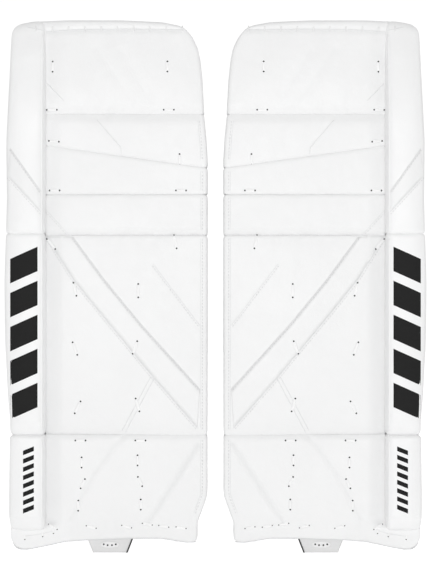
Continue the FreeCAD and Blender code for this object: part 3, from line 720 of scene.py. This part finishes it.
surfaces, bodies = {}, {}
for item in cushions:
    bodies[item["name"]] = item["body"]
    points, faces = subdivide(item["points"], item["faces"])
    if item["relief"] is not None:
        points = item["relief"](points)
    surfaces[item["name"]] = [BVHTree.FromPolygons(points.tolist(), faces.tolist())]
    make_pair(item["name"], item["body"], points, faces, item["material"], item["slot"], item["nodes"],
              item["fill"])

# ---- sewn detail laid on the covers ----

# The sides that detail is laid on: the axis looked along, and which way the surface faces.
VIEWS = {"front": (1, -1), "back": (1, 1), "outer": (0, 1), "inner": (0, -1)}


def placed(side, across, z, depth):
    """A point from its place on a side (out or y, and z) and its depth along the axis looked along."""
    return (across, depth, z) if VIEWS[side][0] == 1 else (depth, across, z)


def depth_at(surface, across, z, side="front"):
    """Where a cover's surface lies, along the axis looked along, at a place on one of its sides."""
    axis, facing = VIEWS[side]
    start = Vector(placed(side, across, z, 500 * facing))
    way = Vector(placed(side, 0, 0, -facing))
    hits = [tree.ray_cast(start, way)[0] for tree in surfaces[surface]]
    depths = [hit[axis] * facing for hit in hits if hit is not None]
    return max(depths, default=-FACE if side == "front" else 0.0) * facing


def travelled(path):
    """How far along a line of points each of them lies."""
    return np.concatenate([[0], np.cumsum(np.linalg.norm(np.diff(path, axis=0), axis=1))])


def at_count(path, count):
    """A line as a given number of evenly spaced points."""
    path = np.array(path, float)
    run = travelled(path)
    at = np.linspace(0, run[-1], count)
    return np.stack([np.interp(at, run, path[:, k]) for k in range(path.shape[1])], axis=1)


def spaced(path, step):
    """A line of points as evenly spaced points, and the unit direction at each."""
    points = at_count(path, max(2, int(travelled(np.array(path, float))[-1] / step) + 1))
    return points, unit(np.gradient(points, axis=0))


def beside(path, distance):
    """A face line moved sideways by a distance."""
    points, heading = spaced(path, 6.0)
    return points + distance * np.stack([-heading[:, 1], heading[:, 0]], axis=1)


def tube(path, radius, sides=6):
    """A round cord along a line of points, drawn in at both ends."""
    path = np.asarray(path, float)
    heading = unit(np.gradient(path, axis=0))
    across = unit(np.cross(heading, (0.02, 1.0, 0.03)))
    up = np.cross(across, heading)
    angles = circle(sides)
    size = np.full(len(path), radius)
    size[[0, -1]] *= 0.45
    ring = np.cos(angles)[None, :, None] * across[:, None] + np.sin(angles)[None, :, None] * up[:, None]
    points = (path[:, None] + size[:, None, None] * ring).reshape(-1, 3)
    return points, [face[::-1] for face in ring_faces(len(path), sides)]


def on_surface(surface, places, lift, side="front"):
    """Places on a side as points on a cover, lifted off it."""
    facing = VIEWS[side][1]
    lifts = np.broadcast_to(lift, len(places))
    return np.array([placed(side, across, z, depth_at(surface, across, z, side) + facing * up)
                     for (across, z), up in zip(places, lifts)])


def stitches(surface, path, pitch=4.4, length=3.0, radius=0.42, side="front"):
    """A row of thread stitches, each dipping into the cover at its ends."""
    points, heading = spaced(path, pitch)
    lift = np.array((-0.5, 0.28, 0.34, 0.28, -0.5))
    steps = np.linspace(-0.5, 0.5, 5)[:, None] * length
    return [tube(on_surface(surface, place + steps * way, lift, side), radius)
            for place, way in zip(points[:-1] + np.diff(points, axis=0) / 2, heading[:-1])]


def seam(surface, path, radius=0.5):
    """The thin line where two panels meet, nearly flush with the cover."""
    points, _ = spaced(path, 3.0)
    return tube(on_surface(surface, points, -0.08), radius)


def patch(surface, one_side, other_side, height, step=3.0, across=6):
    """A panel laid on a cover between two lines, with a thin rounded edge, closed underneath."""
    count = len(spaced(one_side, step)[0])
    edges = [at_count(line, count) for line in (one_side, other_side)]
    skin, faces = box_skin([np.linspace(0, 1, across + 1), np.arange(2), np.arange(count)])
    share, layer, row = skin[:, 0], skin[:, 1], skin[:, 2].astype(int)
    places = edges[0][row] * (1 - share[:, None]) + edges[1][row] * share[:, None]
    rim = (share < 1e-6) | (share > 1 - 1e-6) | (row == 0) | (row == count - 1)
    lift = np.where(layer == 1, -0.6, np.where(rim, height * 0.25, height))
    run = edges[0][-1] - edges[0][0]
    over = edges[1][0] - edges[0][0]
    if over[0] * run[1] - over[1] * run[0] < 0:
        faces = faces[:, ::-1]
    return on_surface(surface, places, lift), faces.tolist()


def dome(surface, place, radius, height=0.5):
    """A low round disc on a cover, used in black as painted shade for lace holes."""
    rings = ((1.0, -0.6), (1.0, 0.1), (0.7, height * 0.8), (0.2, height))
    sides = 10
    angles = circle(sides)
    depth = depth_at(surface, *place)
    rim = radius * np.stack([np.cos(angles), np.sin(angles)], axis=1)
    points = [(place[0] + share * out, depth - lift, place[1] + share * z)
              for share, lift in rings for out, z in rim]
    return np.array(points), ring_faces(len(rings), sides)


def edge_seam(low, high):
    """The seam beside the pad's inner edge, between two heights."""
    heights = np.linspace(low, high, 12)
    return np.stack([read(INNER_LINE, heights) + EDGE_SEAM_IN, heights], axis=1)


# Raised panels, stitched seams and plain seams, by the cover that they lie on.
sewn = {
    "shin": ([(BAND_LOW, BAND_HIGH)], [BAND_LOW, BAND_HIGH, SHIN_FAINT, edge_seam(172, 439)],
             [beside(SHIN_TAIL, -2.6), beside(SHIN_TAIL, 2.6)]),
    "boot": ([], [edge_seam(56, 159)], []),
    "thigh": ([], [], [THIGH_MARK, TOP_SEAM]),
    "knee_roll_upper": ([], [edge_seam(548, 603)], [KNEE_MARK]),
    "knee_roll_middle": ([], [edge_seam(504, 533)], []),
    "knee_roll_lower": ([], [KNEE_BAND, edge_seam(450, 496)], []),
    "upper_roll": ([(ROLL_BAND_LOW, ROLL_BAND_HIGH)], [ROLL_BAND_LOW, ROLL_BAND_HIGH], [ROLL_TOP_SEAM]),
}
for stem, (raised, stitched, plain) in sewn.items():
    surface = stem + "_cover"
    body = bodies[surface]
    if raised:
        panels = joined([patch(surface, *pair, PANEL_HEIGHT) for pair in raised])
        make_pair(stem + "_panels", body, *panels, FACE_LEATHER)
        surfaces[surface].append(BVHTree.FromPolygons(panels[0].tolist(), panels[1]))
    lines = [seam(surface, line, 0.42) for line in stitched] + [seam(surface, line, 0.6) for line in plain]
    make_pair(stem + "_seams", body, *joined(lines), SEAM_LEATHER_PAINTED_DARKER)
    threads = [thread for line in stitched for thread in stitches(surface, beside(line, THREAD_FROM_SEAM))]
    if threads:
        make_pair(stem + "_stitches", body, *joined(threads), THREAD)


# The covered cord sewn along the inner front edge of the outer roll.
for stem, low, high in (("boot_roll", 48, 163), ("shin_roll", 175, 443), ("upper_roll", 447, 724)):
    surface = stem + "_cover"
    cord = on_surface(surface, [(ROLL + 3.6, z) for z in np.arange(low, high, 4.0)], -0.75)
    make_pair(stem + "_piping", bodies[surface], *tube(cord, 1.5, 8), PAINTED_BRIGHTER_ROLL_LEATHER)

# ---- laces ----


def islands(node):
    """The separate lengths of a lacing node, as (middle, direction, length) on the face."""
    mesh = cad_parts[node + "_left"].data
    places = np.array([vertex.co for vertex in mesh.vertices]) / MM
    _, number, spot = np.unique(np.round(places, 2), axis=0, return_index=True, return_inverse=True)
    spot = spot.ravel()
    ends = spot[np.array([edge.vertices[:] for edge in mesh.edges])]
    before = None
    while before is None or (number != before).any():
        before = number.copy()
        np.minimum.at(number, ends, before[ends].min(axis=1, keepdims=True))
    found = []
    for one in np.unique(number):
        flat = places[number[spot] == one][:, [0, 2]]
        middle = (flat.min(axis=0) + flat.max(axis=0)) / 2
        _, _, axes = np.linalg.svd(flat - flat.mean(axis=0))
        reach = (flat - middle) @ axes[0]
        found.append((middle, axes[0], reach.max() - reach.min()))
    return found


def lace(surface, middle, heading, length, width, thickness=0.62):
    """A flat lace pulled through two eyelets, widest and highest midway."""
    t = np.linspace(-1, 1, 11)
    side = np.array((-heading[1], heading[0]))
    swell = np.cos(t * math.pi / 2) ** 0.4
    half = width / 2 * (0.55 + 0.45 * swell)
    lift = thickness * (1.7 * swell - 1.2)
    sides = 10
    angles = circle(sides)
    points = []
    for row, share in enumerate(t):
        place = middle + share * heading * length / 2
        depth = depth_at(surface, *place)
        for angle in angles:
            out, z = place + side * half[row] * math.cos(angle)
            points.append((out, depth - lift[row] - thickness * math.sin(angle), z))
    return np.array(points), ring_faces(len(t), sides)


KNEE_ROLLS = (("lower", 500), ("middle", 545), ("upper", THIGH_FOLD))


def nearest_cover(segment, z):
    """The cover under a segment's lace. Each knee roll reaches up to its own height."""
    if segment != "knee":
        return segment + "_cover"
    return next(f"knee_roll_{roll}_cover" for roll, top in KNEE_ROLLS if z < top)


WHIP_HEADING = np.array((0.07, 0.9975))
# How much longer than in the CAD each segment's laces are drawn.
LACED = {"shin": 1.32, "boot": 1.0, "knee": 1.0, "thigh": 1.0}
for segment, scale in LACED.items():
    body = bodies[nearest_cover(segment, KNEE_FOLD)]
    strands, holes, whips = [], [], []
    for middle, heading, length in islands(segment + "_lacing"):
        surface = "upper_roll_cover" if middle[0] > ROLL else nearest_cover(segment, middle[1])
        reach = length * scale
        if length < WHIP_LONGEST:
            whips.append(lace(surface, middle, WHIP_HEADING, reach, 2.2))
            continue
        strands.append(lace(surface, middle, heading, reach, 4.0))
        # Painted shade: a black disc at each end of a lace, for the dark inside of its hole.
        hole_radius = 0.85 if middle[1] < FOOT_ROW else 1.25
        for end in (-0.5, 0.5):
            holes.append(dome(surface, middle + end * reach * heading, hole_radius))
    make_pair(segment + "_laces", body, *joined(strands), LACE, "white_lace", [segment + "_lacing"])
    make_pair(segment + "_eyelets", body, *joined(holes), HOLE_SHADE_PAINT, "black_print")
    if whips:
        make_pair(segment + "_whipping", body, *joined(whips), WHIPPING_PAINTED_DARKER, "white_lace")

# ---- prints on the roll ----


def slanted_bars(surface, out_low, out_high, z_low, z_high, count, share, slant):
    """Plain slanted bars, one above another."""
    pitch = (z_high - z_low) / count
    bars = []
    for k in range(count):
        low, high = z_low + pitch * k, z_low + pitch * (k + share)
        one = ((out_low, low), (out_low, high))
        other = ((out_high, low - slant), (out_high, high - slant))
        bars.append(patch(surface, one, other, 0.3, step=2.5, across=12))
    return bars


shin_bars = slanted_bars("shin_roll_cover", 246, 284, 205, 440, 5, 0.72, 17)
boot_bars = slanted_bars("boot_roll_cover", 251, 266, 64, 156, 8, 0.55, 6)
make_pair("shin_print", "shin_bend", *joined(shin_bars), INK, "black_print")
make_pair("boot_print", "boot", *joined(boot_bars), INK, "black_print")

# ---- toe ----

TOE_SEAM = ((267, 23.5), (241, 27.5), (225, 32))
TOE_TICKS = ((266.0, 22.5), (241.0, 26.5), (226.0, 31.0))
tick_heading = np.array((0.1, 0.995))
make_pair("toe_seam", "boot", *seam("boot_cover", TOE_SEAM), SEAM_LEATHER_PAINTED_DARKER)
ticks = [lace("boot_cover", np.array(place), tick_heading, 6.0, 2.2) for place in TOE_TICKS]
# Painted shade: black discs for the holes of the toe ticks.
tick_holes = [dome("boot_cover", np.array(place) - 3 * tick_heading, 0.9) for place in TOE_TICKS]
make_pair("toe_ticks", "boot", *joined(ticks), LACE, "white_lace")
make_pair("toe_eyelets", "boot", *joined(tick_holes), HOLE_SHADE_PAINT, "black_print")
# Painted shade: a grey cord along the toe's lower edge, standing in for the line of shade under it.
edge_places = np.linspace(27, 283, 90)
edge_path = np.stack([edge_places, np.full(90, FACE + 8.0), toe_height(edge_places) + 0.3], axis=1)
make_pair("toe_binding_painted_shade", "boot", *tube(edge_path, 1.2, 8), BINDING_PAINTED_SHADE)

BRIDGE_LOW, BRIDGE_HIGH = span("toe_bridge")
BRIDGE_MIDDLE = (BRIDGE_LOW[0] + BRIDGE_HIGH[0]) / 2
BRIDGE_SIDE = ((0, 23.6), (19, 31.0), (50, 31.4))
BOSS_AT = 11.5


def bridge_plate():
    """The moulded plate under the toe, with flared sides and rounded edges."""
    low = np.array((-1.0, BRIDGE_LOW[1] + 0.7, 0.3))
    high = np.array((1.0, BRIDGE_HIGH[1], 50.0))
    points, faces = plain_box(low, high, (45, 5, 41))
    across, y, z = points.T
    half = read(BRIDGE_SIDE, z)
    rim = np.minimum(half * (1 - np.abs(across)), z - low[2])
    on_front = y < low[1] + 0.1
    rounded = y + on_front * 1.2 * (1 - ease(rim / 1.6))
    return np.stack([BRIDGE_MIDDLE + across * half, rounded, z], axis=1), faces


def bridge_boss():
    """The raised oval that the toe laces go through."""
    rings = ((1.0, 0.7), (1.0, 0.15), (0.93, -0.05), (0.5, -0.1))
    sides = 36
    angles = circle(sides)
    points = []
    for share, depth in rings:
        for angle in angles:
            out = BRIDGE_MIDDLE + 13.0 * share * math.copysign(abs(math.cos(angle)) ** 0.8, math.cos(angle))
            points.append((out, BRIDGE_LOW[1] + depth, BOSS_AT + 4.2 * share * math.sin(angle)))
    return np.array(points), ring_faces(len(rings), sides)


def bridge_edge():
    """The black strip pressed over the bridge's slanted inner edge."""
    points, faces = plain_box((-1, 0, 0.4), (1, 1, 24), (4, 4, 14))
    across, depth, z = points.T
    slope = BRIDGE_MIDDLE - read(BRIDGE_SIDE, z)
    round_side = 1 - 0.4 * (np.abs(depth - 0.5) > 0.4)
    y = BRIDGE_LOW[1] + 0.3 + depth * (BRIDGE_HIGH[1] - BRIDGE_LOW[1])
    return np.stack([slope + 1.3 * across * round_side, y, z], axis=1), faces


boss_points, boss_faces = bridge_boss()
surfaces["boss"] = [BVHTree.FromPolygons(boss_points.tolist(), boss_faces)]
# Painted shade: black discs on the boss for the dark insides of the toe lace holes.
BRIDGE_HOLES = ((-8.4, 0.6), (-3.0, -0.6), (3.0, -0.6), (8.4, 0.6))
holes = [dome("boss", (BRIDGE_MIDDLE + out, BOSS_AT + z), 1.3, 0.15) for out, z in BRIDGE_HOLES]
make_pair("toe_bridge_plate", "boot", *bridge_plate(), PLASTIC, "grey_plastic", ["toe_bridge"])
make_pair("toe_bridge_boss", "boot", boss_points, boss_faces, BOSS, "grey_plastic")
make_pair("toe_bridge_holes", "boot", *joined(holes), HOLE_SHADE_PAINT, "black_print")
make_pair("toe_bridge_edge", "boot", *bridge_edge(), EDGE_BLACK, "black_print")
for pad in PADS:
    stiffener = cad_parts[f"shin_stiffener_{pad}"].data
    stiffener.materials.clear()
    stiffener.materials.append(SHEET)

# ---- sewing on the back ----


def upright(across, low, high):
    return ((across, low), (across, high))


def frame_lines(low_across, high_across, low, high):
    """The four lines of a sewn rectangle."""
    corners = ((low_across, low), (high_across, low), (high_across, high), (low_across, high))
    return [(corners[k], corners[(k + 1) % 4]) for k in range(4)]


def sewn_rows(name, body, surface, side, lines, material=THREAD, slot="wing_cover"):
    """Coarse stitching along lines on one side of a cover."""
    threads = [thread for line in lines for thread in stitches(surface, line, 6.2, 4.4, 0.55, side)]
    make_pair(name, body, *joined(threads), material, slot)


for stem, (body, channels, last_row, *_) in WINGS.items():
    low, high = span(stem)
    foot = 30 if body == "boot" else low[2] + 10
    lines = [upright(y, foot, high[2] - 10) for y in (*channels, last_row)]
    lines.append(((-10, high[2] - 9), (last_row, high[2] - 9)))
    for side in ("outer", "inner"):
        sewn_rows(f"{stem}_{side}_stitches", body, stem + "_cover", side, lines)

sewn_rows("knee_block_stitches", "knee", "knee_block_pad", "back",
          frame_lines(block_low[0] + 10, block_high[0] - 10, block_low[2] + 10, block_high[2] - 10),
          slot="block_cover")
BACK_SEAMS = {
    "boot": (((17, 78), (17, 156)), ((230, 50), (230, 156))),
    "shin": (((18, 174), (18, 436)), ((230, 174), (230, 436))),
    "knee_roll_upper": (((18, 560), (18, 604)), ((230, 575), (230, 604))),
    "thigh": (((24, 630), (24, 690)), ((40, 728), (228, 730))),
}
for stem, lines in BACK_SEAMS.items():
    surface = stem + "_cover"
    sewn_rows(stem + "_back_stitches", bodies[surface], surface, "back", lines, slot="padded_face")


def flange(name, body, corner, low, high):
    """The strip that sews a wing to the pad's back: it runs along the back, turns, and runs up the wing."""
    path, _ = spaced(corner, 1.6)
    for _ in range(4):
        path[1:-1] = (path[:-2] + 2 * path[1:-1] + path[2:]) / 4
    heading = unit(np.gradient(path, axis=0))
    off = np.stack([-heading[:, 1], heading[:, 0]], axis=1)
    points, faces = box_skin([np.arange(len(path)), np.arange(3), np.linspace(low, high, 40)])
    at, layer = points[:, 0].astype(int), points[:, 1]
    thin = np.where((at == 0) | (at == len(path) - 1), 0.3, 1.0)
    shift = off[at] * ((layer - 1) * 0.9 * thin)[:, None]
    strip = np.column_stack([path[at] + shift, points[:, 2]])
    make_pair(name, body, strip, faces, WING_LEATHER, "wing_cover")


def wing_corner(out, way):
    """A flange's section as (out, y), beside a wing whose side lies at that place."""
    on_pad = CORE_BACK + 0.9
    return ((out + way * 15, on_pad), (out + way * 1.6, on_pad), (out + way * 1.2, CORE_BACK + 18))


for stem, (body, *_) in WINGS.items():
    low, high = span(stem)
    foot = 34 if body == "boot" else low[2] + 4
    opens = body == "calf_wing"
    for side, out, way in (("outer", high[0], 1), ("inner", low[0], -1)):
        if opens and side == "inner":
            continue
        rides = "wing_bend" if opens else body
        flange(f"{stem}_{side}_flange", rides, wing_corner(out, way), foot, high[2] - 4)


for node, (body, *_, corner) in LININGS.items():
    # The tape bound round the lining's edge.
    low, high = span(node)
    angles = np.linspace(0, 2 * math.pi, 61)
    turn = np.stack([np.cos(angles), np.sin(angles)], axis=1)
    middle = (low[::2] + high[::2]) / 2
    half = (high[::2] - low[::2]) / 2 - 1.0
    square = np.clip(turn * 1.6, -1, 1) * (half - corner) + turn * corner
    flat, _ = spaced(middle + square, 5.0)
    path = np.column_stack([flat[:, 0], np.full(len(flat), high[1] - 2.6), flat[:, 1]])
    make_pair(node + "_binding", body, *tube(path, 2.1, 8), LINING, "channel_lining")

# ---- straps ----


def strap(name, body, node):
    low, high = span(node)
    points, faces = plain_box(low, high, (48, 4, 13))
    points = round_box(points, low, high, ((3, 1.2), (1.2, 1.2), (1.4, 1.4)))
    make_pair(name, body, points, faces, WEBBING, "strap_band", [node])
    surfaces[name] = [BVHTree.FromPolygons(points.tolist(), faces.tolist())]
    grip_low = np.array((low[0] + 5, high[1] - 0.6, low[2] + 3))
    grip_high = np.array((low[0] + 52, high[1] + 1.4, high[2] - 3))
    points, faces = plain_box(grip_low, grip_high, (24, 3, 13))
    points = round_box(points, grip_low, grip_high, ((4, 4), (0.8, 0.8), (4, 4)))
    make_pair(name + "_grip", body, points, faces, GRIP, "strap_band")
    left, right, bottom, top = high[0] - 34, high[0] - 6, low[2] + 5, high[2] - 5
    tack = frame_lines(left, right, bottom, top)
    tack += [((left, bottom), (right, top)), ((left, top), (right, bottom))]
    edges = [((grip_high[0] + 3, z), (high[0] - 38, z)) for z in (low[2] + 2.5, high[2] - 2.5)]
    sewn_rows(name + "_stitches", body, name, "back", tack + edges, TACK_THREAD, "strap_band")


for node, body in (("boot_strap", "boot_band"), ("calf_strap_lower", "calf_band_lower"),
                   ("calf_strap_upper", "calf_band_upper"), ("knee_strap", "knee_band")):
    strap(node + "_webbing", body, node)

# ---- floor, light and camera ----


def stage_floor(lighting, shown):
    """A white floor that glows a little, more strongly where it is seen than where it lights the pads."""
    nodes = Nodes("studio_floor")
    clouds = nodes.texture("Noise", 0.8, Detail=2.0)
    colour = nodes.ramp(clouds, 0.3, 0.7, grey(0.93), grey(0.95))
    seen = nodes.add("LightPath").outputs["Is Camera Ray"]
    glow = nodes.maths("ADD", nodes.maths("MULTIPLY", seen, shown - lighting), lighting)
    nodes.set(Base_Color=colour, Roughness=0.9, Emission_Color=(1, 1, 1, 1), Emission_Strength=glow)
    points, faces = plain_box((-9, -9, -0.02), (9, 9, 0), (3, 3, 2))
    floor = raw_object("floor", points, faces)
    floor.data.materials.append(nodes.material)


def studio_world(lighting, shown):
    """A white room: it lights the pads with one strength and is seen behind them with another."""
    world = bpy.data.worlds.new("studio")
    bpy.context.scene.world = world
    world.use_nodes = True
    tree = world.node_tree
    background = tree.nodes["Background"]
    seen = tree.nodes.new("ShaderNodeLightPath").outputs["Is Camera Ray"]
    mix = tree.nodes.new("ShaderNodeMix")
    mix.inputs["A"].default_value = lighting
    mix.inputs["B"].default_value = shown
    tree.links.new(seen, mix.inputs["Factor"])
    tree.links.new(mix.outputs["Result"], background.inputs["Strength"])
    background.inputs["Color"].default_value = (1.0, 1.0, 1.0, 1)


LAMPS_AIM = (0, 0, 0.4)


def softbox(name, place, width, height, power):
    """A soft rectangular lamp, turned to the middle of the pads."""
    lamp = bpy.data.lights.new(name, "AREA")
    lamp.shape = "RECTANGLE"
    lamp.size = width
    lamp.size_y = height
    lamp.energy = power
    put(name, lamp, place, (Vector(LAMPS_AIM) - Vector(place)).to_track_quat("-Z", "Y").to_euler())


def studio_camera(lens, distance, height):
    """A level camera straight in front of the pads."""
    data = bpy.data.cameras.new("camera")
    data.lens = lens
    data.sensor_width = 36.0
    bpy.context.scene.camera = put("camera", data, (0, -distance, height), (math.radians(90), 0, 0))


stage_floor(lighting=0.22, shown=0.7)
studio_world(lighting=0.6, shown=1.05)
softbox("front", (0, -3.4, 0.6), width=2.4, height=1.15, power=32)
for side in (-1, 1):
    softbox(f"side_{side}", (side * 2.6, 0.4, 0.6), width=1.6, height=1.6, power=4)
softbox("back", (0.8, 2.8, 1.6), width=1.6, height=1.2, power=12)
studio_camera(lens=131.6, distance=3.0, height=0.3704)
bpy.context.scene.view_settings.view_transform = "Standard"
